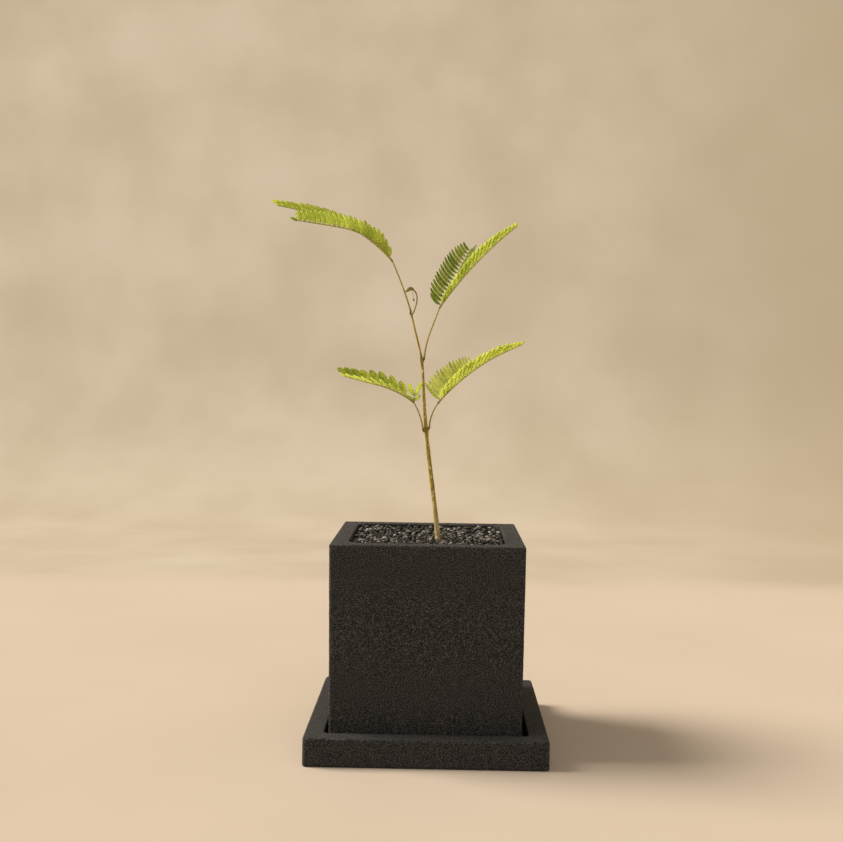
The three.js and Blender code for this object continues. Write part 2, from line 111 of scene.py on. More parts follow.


# A leaf grows `out` from the middle of its node and `up` above it. A shoot's heading (0 is +X, 90 is
# +Y) turns by `turn`, and its rise above the horizon goes from the first to the second value by the
# share `settle` of its length. A pinna has so many `pairs` from its share `first` on, and `leaflet` is a
# full leaflet's length and width. `spread` is a leaflet's angle to its rachis, `fold` how far a pair is
# folded up, `roll` how far the rows are turned about the rachis, `lift` how far a leaflet is turned
# about itself, and `bend` how far its tip curves forward. `shares` gives the first leaflet's length, the
# place of the first full one, and the last leaflet's length. They get shorter from the place `shorten`
# on, as wide as `keep` times their share, and as `room` times the space between them at most. Pairs for
# the left and the right row are `tone` from dark green to pale yellow-green, the factors `longer` and
# `wider`, and the further folding `folded`. `even` is a factor on how unevenly leaflets stand, and
# `bud` the length of a closed pair at the tip.
# Each pinna's `tone` is partly painted light and shade: rows seen lit through get a pale tone, and
# rows that the light does not reach a dark one.
LEAVES = {
    "leaf_lower_left": Sizes(
        node="low", out=1.45, up=0, seed=11,
        petiole=shoot(heading=176, rise=(83, 58), length=13.6),
        pinnae=[
            shoot(heading=184, rise=(36, 14), settle=0.55, length=34, pairs=8, first=0.13,
                  leaflet=(7.6, 2.7), spread=(46, 30), fold=(42, 40), roll=(-20, -18), lift=14, bend=0.06,
                  shares=(0.74, 0.4, 0.62), room=1.6, tone=(0.9, 0.66), longer=(1.05, 1.3),
                  wider=(1.1, 1.28), folded=(8, 8)),
            shoot(heading=-60, rise=(86, 82), length=3.6, pairs=1, first=0.92, leaflet=(7.2, 2.1),
                  spread=(41, 41), fold=(8, 8), roll=(20, 20), lift=4, bend=0.04, shares=(1, 0.1, 1),
                  room=8, tone=(0.62, 0.62), longer=(1.02, 1.02), wider=(1.3, 1.3)),
            shoot(heading=-80, rise=(78, 74), length=1.8, pairs=1, first=0.55, leaflet=(3.1, 1.3),
                  spread=(60, 60), fold=(16, 16), roll=(12, 12), lift=4, bend=0.04, shares=(1, 0.1, 1),
                  room=3.6, tone=(0.5, 0.5), longer=(1.25, 1.25), wider=(1.3, 1.3)),
        ]),
    "leaf_lower_right": Sizes(
        node="low", out=1.45, up=1, seed=12,
        petiole=shoot(heading=10, rise=(88, 54), length=12.3),
        pinnae=[
            shoot(heading=-18, rise=(49, 23), settle=0.9, length=47.8, pairs=19, first=0.06,
                  leaflet=(8.4, 2.2), spread=(44, 29), fold=(62, 54), lift=5, bend=0.16,
                  shares=(0.5, 0.3, 0.36), room=1.4, tone=(0.9, 1.0), keep=1.8, even=0.3),
            shoot(heading=62, rise=(35, 26), length=40, pairs=15, first=0.07, leaflet=(8.6, 2),
                  spread=(90, 66), fold=(46, 30), roll=(-4, 12), lift=50, bend=0.25, shares=(1, 0.05, 0.3),
                  room=0.68, tone=(0.85, 0.8), longer=(1.14, 0.9), shorten=0.25, even=0.3),
        ]),
    "leaf_upper_right": Sizes(
        node="middle", out=1.1, up=1, seed=13,
        petiole=shoot(heading=14, rise=(85, 69), settle=0.55, length=24.8),
        pinnae=[
            shoot(heading=-22, rise=(53, 36), length=51.5, pairs=20, first=0.06, leaflet=(8, 2.2),
                  spread=(44, 29), fold=(66, 54), lift=5, bend=0.16, shares=(0.26, 0.42, 0.3), room=1.4,
                  tone=(0.7, 0.75), keep=2.2, even=0.25),
            shoot(heading=60, rise=(48, 44), length=42, pairs=17, first=0.05, leaflet=(8.8, 2.2),
                  spread=(90, 82), fold=(46, 28), roll=(-6, 12), lift=24, bend=0.4,
                  shares=(0.66, 0.16, 0.5), room=0.74, tone=(0.2, 0.36), longer=(1, 0.8), even=0.3),
        ]),
    "leaf_top": Sizes(
        node="high", out=0.2, up=1, seed=14,
        petiole=shoot(heading=184, rise=(73, 65), length=24.8),
        pinnae=[
            shoot(heading=202, turn=-12, rise=(53, 7), settle=0.6, length=49, pairs=21, first=0.05,
                  leaflet=(7.9, 2.1), spread=(38, 72), fold=(62, 58), lift=26, bend=0.04,
                  shares=(0.4, 0.14, 0.6), room=1.6, tone=(0.76, 0.7), wider=(1.18, 1.1), keep=1.6,
                  even=0.6, bud=3.6),
            shoot(heading=157, turn=10, rise=(46, 13), settle=0.75, length=66, pairs=22, first=0.08,
                  leaflet=(7.8, 2.1), spread=(46, 36), fold=(56, 50), lift=9, bend=0.16,
                  shares=(0.5, 0.2, 0.66), room=1.7, tone=(0.78, 0.72), keep=1.8, even=0.2),
        ]),
}
# A leaflet's mesh, whose columns crowd at its edges, its thickness and how much of it the edge lacks,
# how far it cups, the groove over its midrib, and a factor on all widths.
BLADE = Sizes(rows=16, columns=9, crowd=0.86, thick=0.2, thinner=0.45, cup=0.1, groove=0.05,
              groove_width=0.16, fuller=1.1)
# How unevenly leaflets stand and grow.
WOBBLE = Sizes(fold=5, spread=3, length=0.04, arch=0.05, tone=0.3)
# A leaflet's outline in shares of its length and width: a base that is full by `full`, sides that draw
# in by `taper`, and a tip. Its front half starts with `front` millimetres and widens by a share of the
# slope between it and the rachis.
OUTLINE = Sizes(base=0.2, base_from=-0.04, full=0.32, taper=0.1, tip_from=0.66, tip_end=1.002, blunt=2.1,
                front=0.16, front_slope=0.9, steepest=1.4)
# A petiole has a swollen foot that darkens between two lengths, and a heel inside its node.
PETIOLE = Sizes(radius=(0.42, 0.3), sides=12, steps=40, green=0.35, foot=2.0, swell=0.12, fade=1.2,
                dark=0.85, dark_from=1.4, dark_to=2.9, heel_out=0.3, heel_low=1.2, belly=0.15)
# A leaflet's `seat` is a share of its rachis's radius off the middle line.
RACHIS = Sizes(radius=(0.34, 0.25), sides=10, steps=64, beyond=1.0, end_radius=0.04, swell=0.35,
               swell_length=1.6, dark=0.55, dark_length=1.2, end_dark=0.3, green_by=0.3, seat=0.8,
               seat_up=0.5)
END_BUD = Sizes(open=0.1, rise=0.16, apart=0.15, shorter=0.2, width=1.3, bend=0.05, tone=0.2)

# The young leaf is a hook. Its ridged bud starts at a share of it and goes on past its end with its own
# rise, and a thread that ends in a drop hangs inside it.
YOUNG = shoot(
    node="high", out=1, up=0.4, heel_low=0.4, heading=20, rise=(70, 178), ease=2.6, length=13.3,
    radius=(0.36, 0.3), steps=48, green=0.9)
YOUNG_BUD = Sizes(share=0.84, start=0.2, length=2.8, rise=216, steps=19, ridges=6, turn=0.3, apart=0.42,
                  radius=(0.1, 0.36), sides=8, green=0.5)
THREAD = Sizes(share=0.9, points=[(0, 0, 0), (0.1, 0.3, -1.2), (0.3, 0.4, -2.6), (0.6, 0.3, -4.2)],
               steps=16, radius=0.09, sides=6, green=0.5)
DROP = Sizes(towards=(0.12, 0, -1), reach=(-0.2, 1.5), rows=9, radius=(0.06, 0.36), sides=8)


# Small helpers.

def mix(pair, t):
    return pair[0] + (pair[1] - pair[0]) * t


def unit(v):
    v = np.asarray(v, float)
    return v / np.maximum(np.linalg.norm(v, axis=-1, keepdims=True), 1e-12)


def smooth(low, high, x):
    t = np.clip((np.asarray(x, float) - low) / (high - low), 0, 1)
    return t * t * (3 - 2 * t)


def hump(x, width):
    """A smooth hump of height 1 round 0."""
    return np.exp(-(x / width) ** 2)


def placed(name, data):
    """A new object in the scene."""
    made = bpy.data.objects.new(name, data)
    bpy.context.scene.collection.objects.link(made)
    return made


# Meshes.

class Shape:
    """Collects the points, faces and point values of one mesh."""

    def __init__(self, *values):
        self.points = []
        self.faces = []
        self.slots = []
        self.values = {name: [] for name in values}
        self.count = 0

    def add(self, points, faces, slot=0, **values):
        points = np.asarray(points, float).reshape(-1, 3)
        self.faces += [tuple(i + self.count for i in face) for face in faces]
        self.slots += [slot] * len(faces)
        self.points.append(points)
        for name, rows in self.values.items():
            rows.append(np.broadcast_to(np.asarray(values.get(name, 0.0), float).ravel(), len(points)))
        self.count += len(points)

    def piece(self, name, slot, looks, node):
        """Makes the mesh a piece that stands for a node and rides on the one body."""
        mesh = bpy.data.meshes.new(name)
        mesh.from_pydata((np.concatenate(self.points) * MM).tolist(), [], self.faces)
        for look in looks:
            mesh.materials.append(look)
        mesh.polygons.foreach_set("material_index", self.slots)
        for value, rows in self.values.items():
            mesh.attributes.new(value, "FLOAT", "POINT").data.foreach_set("value", np.concatenate(rows))
        mesh.shade_smooth()
        mesh.update()
        made = placed(name, mesh)
        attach(made, "root")
        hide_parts(node)


def grid_faces(rows, columns, wrap=False):
    """Quads between rows of points, with the last column joined to the first where wrap is true."""
    last = columns if wrap else columns - 1
    return [
        (i * columns + j, i * columns + (j + 1) % columns, (i + 1) * columns + (j + 1) % columns,
         (i + 1) * columns + j)
        for i in range(rows - 1) for j in range(last)
    ]


def turned_over(faces):
    return [face[::-1] for face in faces]


def closed_stack(rows):
    """The points and faces of a closed body made of rings, with its first and last ring filled."""
    count = len(rows[0])
    last = (len(rows) - 1) * count
    faces = grid_faces(len(rows), count, wrap=True)
    faces += [tuple(range(count))[::-1], tuple(range(last, last + count))]
    return np.vstack(rows), faces


def gone_along(points):
    """How far along a row of points each one lies."""
    return np.concatenate([[0], np.cumsum(np.linalg.norm(np.diff(points, axis=0), axis=1))])


def even(points, steps):
    """Evenly spaced points along a row of points."""
    gone = gone_along(points)
    at = np.linspace(0, gone[-1], steps + 1)
    return np.stack([np.interp(at, gone, points[:, k]) for k in range(3)], 1)


def along_curve(points, steps):
    """Evenly spaced points on a smooth curve through a few points."""
    p = np.asarray(points, float)
    p = np.vstack([2 * p[0] - p[1], p, 2 * p[-1] - p[-2]])
    fine = []
    for a, b, c, d in zip(p, p[1:], p[2:], p[3:]):
        for t in np.linspace(0, 1, 24, endpoint=False):
            fine.append(0.5 * (2 * b + (c - a) * t + (2 * a - 5 * b + 4 * c - d) * t ** 2
                               + (3 * b - a - 3 * c + d) * t ** 3))
    return even(np.vstack(fine + [p[-2]]), steps)


def frames(points):
    """The direction along a row of points, and two directions across it that don't twist."""
    ahead = unit(np.gradient(points, axis=0))
    side = np.zeros_like(points)
    last = np.cross(ahead[0], (0, 1, 0) if abs(ahead[0][1]) < 0.9 else (1, 0, 0))
    for i, a in enumerate(ahead):
        last = unit(last - np.dot(last, a) * a)
        side[i] = last
    return ahead, side, np.cross(ahead, side)


def round_turns(sides):
    return np.linspace(0, 2 * math.pi, sides, endpoint=False)


def add_tube(shape, points, radii, sides, slot=0, **values):
    """A closed round tube, with radii and values for each point, or for each point and side."""
    count = len(points)
    _, side, over = frames(points)
    a = round_turns(sides)[:, None]
    radii = np.broadcast_to(np.reshape(radii, (count, -1)), (count, sides))[..., None]
    rings = points[:, None] + radii * (np.cos(a) * side[:, None] + np.sin(a) * over[:, None])
    faces = grid_faces(count, sides, wrap=True)
    first, last = count * sides, count * sides + 1
    top = (count - 1) * sides
    for j in range(sides):
        k = (j + 1) % sides
        faces += [(first, k, j), (last, top + j, top + k)]
    rows = {}
    for name, value in values.items():
        value = np.asarray(value, float)
        value = np.broadcast_to(value if value.ndim == 2 else value.reshape(-1, 1), (count, sides))
        rows[name] = np.concatenate([value.ravel(), value[[0, -1], 0]])
    shape.add(np.vstack([rings.reshape(-1, 3), points[:1], points[-1:]]), faces, slot, **rows)


# Materials.

class Look:
    """One material, whose patterns come from nodes. Sizes are millimetres."""

    def __init__(self, name, **sockets):
        self.material = bpy.data.materials.new(name)
        self.material.use_nodes = True
        self.tree = self.material.node_tree
        self.shader = self.tree.nodes["Principled BSDF"]
        self.output = self.tree.nodes["Material Output"]
        self.place = self.node("ShaderNodeTexCoord").outputs["Object"]
        self.set(**sockets)

    def put(self, socket, value):
        if isinstance(value, bpy.types.NodeSocket):
            self.tree.links.new(value, socket)
        else:
            socket.default_value = value

    def set(self, **sockets):
        """Sets or links the shader's own sockets, and gives the material."""
        for socket, value in sockets.items():
            self.put(self.shader.inputs[socket.replace("_", " ")], value)
        return self.material

    def node(self, kind, inputs=(), **settings):
        made = self.tree.nodes.new(kind)
        for key, value in settings.items():
            setattr(made, key, value)
        for key, value in dict(inputs).items():
            self.put(made.inputs[key], value)
        return made

    def axes(self):
        """The X, Y and Z of the place on the surface, in metres."""
        return self.node("ShaderNodeSeparateXYZ", {0: self.place}).outputs

    def stretched(self, sizes):
        """The place on the surface, counted in the given sizes along X, Y and Z."""
        scale = tuple(1 / (size * MM) for size in sizes)
        return self.node("ShaderNodeVectorMath", {0: self.place, 1: scale}, operation="MULTIPLY").outputs[0]

    def noise(self, size, detail=2.0, rough=0.5, stretch=(1, 1, 1)):
        place = self.stretched([size * s for s in stretch])
        return self.node("ShaderNodeTexNoise", {
            "Vector": place, "Scale": 1.0, "Detail": detail, "Roughness": rough}).outputs["Fac"]

    def cells(self, size):
        """The distance to the nearest of many scattered points."""
        place = self.stretched([size] * 3)
        return self.node("ShaderNodeTexVoronoi", {"Vector": place, "Scale": 1.0}).outputs["Distance"]

    def value(self, name):
        """A value that the mesh holds for each point."""
        return self.node("ShaderNodeAttribute", attribute_name=name).outputs["Fac"]

    def calc(self, operation, a, b=0.0, clamp=False):
        return self.node("ShaderNodeMath", {0: a, 1: b}, operation=operation, use_clamp=clamp).outputs[0]

    def step(self, value, low, high, out=(0.0, 1.0)):
        """A smooth step of a value from low to high."""
        return self.node("ShaderNodeMapRange", {
            "Value": value, "From Min": low, "From Max": high, "To Min": out[0], "To Max": out[1],
        }, interpolation_type="SMOOTHSTEP").outputs["Result"]

    def blend(self, share, a, b, kind="MIX"):
        """Colour a mixed with colour b by a share."""
        made = self.node("ShaderNodeMix", data_type="RGBA", blend_type=kind)
        self.put(made.inputs["Factor"], share)
        self.put(made.inputs[6], (*a, 1) if isinstance(a, tuple) else a)
        self.put(made.inputs[7], (*b, 1) if isinstance(b, tuple) else b)
        return made.outputs[2]

    def bump(self, height, depth, strength=1.0, over=None):
        """A bump of a height from 0 to 1 that stands for a depth."""
        made = self.node("ShaderNodeBump", {"Height": height, "Distance": depth * MM, "Strength": strength})
        if over is not None:
            self.put(made.inputs["Normal"], over)
        return made.outputs["Normal"]


def ceramic_look():
    """Charcoal stoneware with a sandy skin and a few paler grains."""
    look = Look("charcoal_ceramic", Specular_IOR_Level=0.5)
    grain = look.noise(0.43, 2.0, 0.6)
    wide = look.noise(14)
    dark = look.blend(look.step(grain, 0.46, 0.66), (0.0015, 0.0015, 0.0014), (0.094, 0.089, 0.082))
    tint = look.blend(look.step(wide, 0.35, 0.65), (0.92, 0.95, 0.9), (1.08, 1.0, 0.98))
    toned = look.blend(1.0, dark, tint, "MULTIPLY")
    glints = look.calc("MULTIPLY", look.step(look.cells(1.7), 0.16, 0.05), 0.4)
    fine = look.bump(look.noise(0.35, 2.0, 0.6), 0.2)
    return look.set(
        Base_Color=look.blend(glints, toned, (0.16, 0.145, 0.125)),
        Roughness=look.step(grain, 0.3, 0.7, (0.95, 0.72)),
        Normal=look.bump(grain, 0.65, over=fine))


def grit_look():
    """Porous grit, black to pale grey by the value `tone`, and nearly black where `open` is low: painted
    shade deep in the heap and under each grain.
    """
    look = Look("lava_grit", Specular_IOR_Level=0.2)
    pores = look.noise(1.0, 3.0, 0.65)
    dark = look.blend(look.step(pores, 0.35, 0.7), (0.002, 0.0018, 0.0014), (0.05, 0.044, 0.035))
    pale = look.blend(look.step(pores, 0.35, 0.7), (0.12, 0.108, 0.09), (0.72, 0.66, 0.56))
    stone = look.blend(look.value("tone"), dark, pale)
    return look.set(
        # Painted shade: where `open` is low the colour goes nearly black.
        Base_Color=look.blend(look.value("open"), (0.0015, 0.0012, 0.001), stone),
        Roughness=look.step(pores, 0.3, 0.7, (0.9, 0.55)),
        Normal=look.bump(pores, 0.5))


def soil_look():
    look = Look("potting_mix", Specular_IOR_Level=0.3, Roughness=0.95)
    crumbs = look.noise(2.5, 4.0, 0.6)
    return look.set(
        Base_Color=look.blend(look.step(crumbs, 0.35, 0.65), (0.02, 0.012, 0.007), (0.1, 0.06, 0.035)),
        Normal=look.bump(crumbs, 1.2))


def net_look():
    look = Look("black_net", Specular_IOR_Level=0.5)
    scuffs = look.noise(1.5, 3.0, 0.6)
    return look.set(
        Base_Color=look.blend(scuffs, (0.012, 0.012, 0.012), (0.03, 0.03, 0.03)),
        Roughness=look.step(scuffs, 0.3, 0.7, (0.4, 0.6)))


def bark_look():
    """Golden tan bark, paler at its foot, partly as its own colour and partly as painted light for its
    sunlit side, paler by the value `speck`, and darker by the value `dark`.
    """
    look = Look("bark", Specular_IOR_Level=0.25)
    streaks = look.noise(0.55, 3.0, 0.6, (1, 1, 9))
    patches = look.noise(3.2, 2.0, 0.5, (1, 1, 3))
    tan = look.blend(look.step(streaks, 0.32, 0.68), (0.165, 0.105, 0.007), (0.5, 0.35, 0.036))
    tan = look.blend(look.step(patches, 0.45, 0.75, (0.0, 0.5)), tan, (0.5, 0.42, 0.07))
    # Partly painted light: the paler foot also stands for the light on the stem's sunlit side.
    foot = look.step(look.axes()["Z"], 0.122, 0.094, (0.0, 0.4))
    tan = look.blend(foot, tan, (0.72, 0.58, 0.31))
    tan = look.blend(look.step(look.value("speck"), 0.2, 0.7), tan, (0.78, 0.66, 0.42))
    return look.set(
        Base_Color=look.blend(look.value("dark"), tan, (0.06, 0.028, 0.008)),
        Roughness=look.step(streaks, 0.3, 0.7, (0.7, 0.5)),
        Normal=look.bump(streaks, 0.12, 0.8))


def stalk_look():
    """Tan stalks, yellow-green by the value `green` and brown by the value `dark`."""
    look = Look("stalk", Specular_IOR_Level=0.45, Roughness=0.5)
    streaks = look.noise(0.4, 2.0, 0.5, (1, 1, 4))
    tan = look.blend(streaks, (0.24, 0.185, 0.022), (0.47, 0.385, 0.075))
    green = look.blend(streaks, (0.26, 0.24, 0.03), (0.50, 0.46, 0.12))
    body = look.blend(look.value("green"), tan, green)
    return look.set(
        Base_Color=look.blend(look.value("dark"), body, (0.085, 0.04, 0.012)),
        Normal=look.bump(streaks, 0.06, 0.6))


def blade_look(name, dark, light, rib, edge, through, share):
    """A leaflet's face, which lets a share of the light through with the colours `through`. Its values
    are `along` it, `across` it from -1 to 1, and its `tone`, which is partly random and partly painted
    light and shade set for each pinna. Side veins slant to its edges."""
    look = Look(name, Specular_IOR_Level=0.4)
    across = look.calc("ABSOLUTE", look.value("across"))
    veins = look.calc("MULTIPLY", look.value("along"), 11.0)
    wave = look.calc("FRACT", look.calc("SUBTRACT", veins, look.calc("MULTIPLY", across, 2.2)))
    gap = look.step(look.calc("ABSOLUTE", look.calc("SUBTRACT", wave, 0.5)), 0.5, 0.36)
    vein = look.calc("SUBTRACT", 1.0, gap)
    mottle = look.noise(1.6)
    spots = look.calc("MULTIPLY", look.calc("SUBTRACT", mottle, 0.5), 0.7)
    # The tone set for each pinna is partly painted light and shade.
    shade = look.calc("ADD", look.value("tone"), spots, clamp=True)
    body = look.blend(shade, dark, light)
    body = look.blend(look.calc("MULTIPLY", vein, 0.12), body, rib)
    body = look.blend(look.step(across, 0.13, 0.05, (0.0, 0.8)), body, rib)
    body = look.blend(look.step(across, 0.84, 0.98, (0.0, 0.75)), body, edge)
    normal = look.bump(look.calc("ADD", vein, look.step(across, 0.16, 0.04)), 0.015, 0.5)
    look.set(Base_Color=body, Roughness=look.step(mottle, 0.3, 0.7, (0.5, 0.38)), Normal=normal)
    glow = look.blend(look.calc("MULTIPLY", vein, 0.14), look.blend(shade, *through), rib)
    glow = look.blend(look.step(across, 0.84, 0.98, (0.0, 0.6)), glow, edge)
    lit = look.node("ShaderNodeBsdfTranslucent", {"Color": glow, "Normal": normal})
    both = look.node("ShaderNodeMixShader", {
        0: share, 1: look.shader.outputs["BSDF"], 2: lit.outputs["BSDF"]})
    look.put(look.output.inputs["Surface"], both.outputs["Shader"])
    return look.material


def bud_look():
    """The young leaf's brown, which turns olive by the value `green`."""
    look = Look("young_leaf", Specular_IOR_Level=0.45, Roughness=0.5)
    streaks = look.noise(0.35, 3.0, 0.6)
    brown = look.blend(look.step(streaks, 0.3, 0.7), (0.09, 0.055, 0.012), (0.38, 0.26, 0.06))
    return look.set(
        Base_Color=look.blend(look.value("green"), brown, (0.33, 0.27, 0.06)),
        Normal=look.bump(streaks, 0.08, 0.8))


# The pot and the saucer.

def outline(side, corner, straight, bend):
    """A rounded square, anticlockwise from above, with so many points to a side and to a corner."""
    c = side / 2 - corner
    points = []
    for turn in range(4):
        a = math.pi / 2 * turn
        ahead, out = np.array((-math.sin(a), math.cos(a))), np.array((math.cos(a), math.sin(a)))
        for t in np.linspace(-c, c, straight, endpoint=False):
            points.append(out * (c + corner) + ahead * t)
        for b in np.linspace(0, math.pi / 2, bend, endpoint=False):
            points.append(out * c + ahead * c + corner * (out * math.cos(b) + ahead * math.sin(b)))
    return np.array(points)


def ring(flat, z, x=0.0):
    return np.column_stack([flat + (x, 0), np.full(len(flat), z)])


def rows_between(first, last):
    """Rings from one to another, without the last, at most a step of the sand texture apart."""
    count = max(1, math.ceil(np.linalg.norm(last - first, axis=1).max() / SAND.step))
    return [first + (last - first) * i / count for i in range(count)]


def edge_rows(base, corner, radius, counts, z, first):
    """Rings over a rounded edge, a quarter turn from the first angle, where 0 is outwards and 90 is up."""
    rows = []
    for a in np.radians(np.linspace(first, first + 90, 4)):
        off = radius * math.cos(a)
        rows.append(ring(outline(base + 2 * off, corner + off, *counts), z + radius * math.sin(a)))
    return rows


def ring_counts(size):
    """How many points a ring of a vessel has to a side and to a corner."""
    return round(size.side / SAND.step), size.corner_points


def outer_rows(size, low, high, wall):
    """Rings of a vessel from its foot up its outside and over its rim to the end of its lip."""
    edge, corner, lip, counts = size.edge, size.corner, size.lip, ring_counts(size)
    base, inner = size.side - 2 * edge, size.side - 2 * wall
    foot = edge_rows(base, corner, edge, counts, low + edge, -90)
    brim = edge_rows(base, corner, edge, counts, high - edge, 0)
    mouth = edge_rows(inner + 2 * lip, size.inner_corner + lip, lip, counts, high - lip, 90)
    rows = foot[:-1] + rows_between(foot[-1], brim[0]) + brim[:-1]
    return rows + rows_between(brim[-1], mouth[0]) + mouth


def surface_normals(points, faces):
    normals = np.zeros_like(points)
    quads = np.array([face for face in faces if len(face) == 4])
    across = np.cross(points[quads[:, 2]] - points[quads[:, 0]], points[quads[:, 3]] - points[quads[:, 1]])
    for k in range(4):
        np.add.at(normals, quads[:, k], across)
    return unit(normals)


def sanded(points, faces, weight, seed):
    """Points moved along their normals by a fine random relief and a wide smooth one."""
    random = np.random.default_rng(seed)
    fine = random.normal(0, 1, len(points)).clip(-2, 2) * SAND.fine / 2
    size = SAND.wide_size
    wide = np.array([noise.noise(Vector(p / size)) for p in points]) * SAND.wide
    return points + surface_normals(points, faces) * ((fine + wide) * weight)[:, None]


def pot(look):
    """The pot: up its outside, over the rim, down the inside, and through the drain hole to its foot."""
    side, x, counts = POT.side, POT.x, ring_counts(POT)

    def tapered(row):
        """A ring made as narrow as the pot is at the ring's height."""
        share = (POT.foot + (side - POT.foot) * (row[:, 2] - POT_LOW) / POT.height) / side
        return np.column_stack([row[:, :2] * share[:, None] + (x, 0), row[:, 2]])

    inside = outline(side - 2 * POT.wall, POT.inner_corner, *counts)
    deep = ring(inside, GRIT.low)
    outer = outer_rows(POT, POT_LOW, POT_HIGH, POT.wall)
    rows = outer[:-1] + rows_between(outer[-1], deep) + [deep, ring(inside, POT_INSIDE)]
    rows = [tapered(row) for row in rows]
    hole = POT.drain * unit(rows[0][:, :2] - (x, 0))
    recess = outline(POT.recess_side, POT.inner_corner, *counts)
    rows += [ring(hole, POT_INSIDE, x), ring(hole, POT_RECESS, x), ring(recess, POT_RECESS, x),
             ring(recess, POT_LOW, x)]
    half = POT.channel / 2
    for row in (rows[0], rows[-1]):
        across = (abs(row[:, 0] - x) < half) | (abs(row[:, 1]) < half)
        row[:, 2] = np.where(across, POT_RECESS, row[:, 2])
    points = np.vstack(rows)
    rounds = grid_faces(len(rows) + 1, len(rows[0]), wrap=True)
    faces = [tuple(i % len(points) for i in face) for face in rounds]
    low, high = POT.sand_from
    weight = smooth(POT_LOW + low, POT_LOW + high, points[:, 2])
    shape = Shape()
    shape.add(sanded(points, faces, weight, SAND.seed), faces)
    shape.piece("pot_body", "charcoal_ceramic", [look], "pot")


def saucer(look):
    """The saucer: up its outside, over the rim and down to its floor, with a flat underside."""
    inside = outline(SAUCER.side - 2 * SAUCER.rim, SAUCER.inner_corner, *ring_counts(SAUCER))
    low = ring(inside, SAUCER.floor)
    outer = outer_rows(SAUCER, 0, SAUCER.height, SAUCER.rim)
    points, faces = closed_stack(outer[:-1] + rows_between(outer[-1], low) + [low])
    weight = smooth(*SAUCER.sand_from, points[:, 2])
    weight[-len(low):] = 0
    shape = Shape()
    shape.add(sanded(points, faces, weight, SAND.seed + 1), faces)
    shape.piece("saucer_body", "charcoal_ceramic", [look], "saucer")


# Gravel.

def ball(level):
    """The points and faces of a ball made of triangles."""
    shape = bmesh.new()
    bmesh.ops.create_icosphere(shape, subdivisions=level, radius=1)
    shape.verts.index_update()
    points = np.array([v.co[:] for v in shape.verts])
    faces = [tuple(v.index for v in face.verts) for face in shape.faces]
    shape.free()
    return points, faces


def settled(random):
    """Grains let down one by one, each at the lowest of a few places where it comes to rest."""
    half = POT.side / 2 - POT.wall - GRIT.clear
    at, radii = np.zeros((0, 3)), np.zeros(0)
    for _ in range(GRIT.most):
        radius = mix(GRIT.radius, random.random() ** GRIT.small)
        tries = random.uniform(-1, 1, (GRIT.tries, 2)) * (half - radius)
        tries[:, 0] += POT.x
        apart = np.linalg.norm(tries - STEM_IN_GRIT, axis=1)
        tries = tries[apart > radius + GRIT.round_stem]
        if not len(tries):
            continue
        rest = np.full(len(tries), GRIT.low)
        if len(at):
            gap = np.linalg.norm(tries[:, None] - at[None, :, :2], axis=2)
            reach = (radius + radii) * GRIT.pack
            over = np.sqrt(np.maximum(reach ** 2 - gap ** 2, 0)) + at[:, 2]
            rest = np.maximum(rest, np.where(gap < reach, over, -np.inf).max(1))
        best = rest.argmin()
        spot = tries[best]
        top = GRIT.top + GRIT.mound * spot[1] / half
        if rest[best] + radius * (1 - GRIT.proud) > top:
            continue
        at = np.vstack([at, (*spot, rest[best])])
        radii = np.append(radii, radius)
    return at, radii


def grain(random, points):
    """A ball's points shaped into a stone about 1 in radius, and the stone's tone."""
    turn = np.linalg.qr(random.normal(size=(3, 3)))[0]
    if np.linalg.det(turn) < 0:
        turn[0] *= -1
    flats = unit(random.normal(size=(GRAIN.flats, 3)))
    near = (points @ flats.T).clip(GRAIN.flat_from, 1).sum(1, keepdims=True)
    stone = points * (GRAIN.size - GRAIN.flat * near)
    stone = stone * random.uniform(*GRAIN.rough, (len(points), 1))
    tone = random.choice(GRIT.tones, p=GRIT.tone_shares) + random.uniform(*GRIT.tone_off)
    return stone * random.uniform(*GRAIN.squash, 3) @ turn, tone


def gravel(look):
    """Loose grains: fine ones on top, and plainer ones where two or more others cover them."""
    random = np.random.default_rng(GRIT.seed)
    at, radii = settled(random)
    tops = at[:, 2] + radii
    covered = [
        ((np.linalg.norm(at[:, :2] - place[:2], axis=1) < radii) & (tops > top + GRIT.cover)).sum() > 1
        for place, top in zip(at, tops)]
    shapes = Shape("tone", "open"), Shape("tone", "open")
    balls = ball(2), ball(1)
    for place, radius, hidden in zip(at, radii, covered):
        points, faces = balls[hidden]
        stone, tone = grain(random, points)
        points = place + stone * radius
        # Painted shade and light: `open` is 0 deep in the heap and on a grain's lower side, and 1 on its
        # top.
        depth = smooth(*GRIT.gloom, points[:, 2] - GRIT.top)
        cap = smooth(*GRIT.cap, (points[:, 2] - place[2]) / radius)
        shapes[hidden].add(points, faces, tone=tone, open=depth * cap)
    shapes[0].piece("gravel_grains", "lava_grit", [look], "gravel")
    shapes[1].piece("gravel_crumbs", "lava_grit", [look], "gravel")


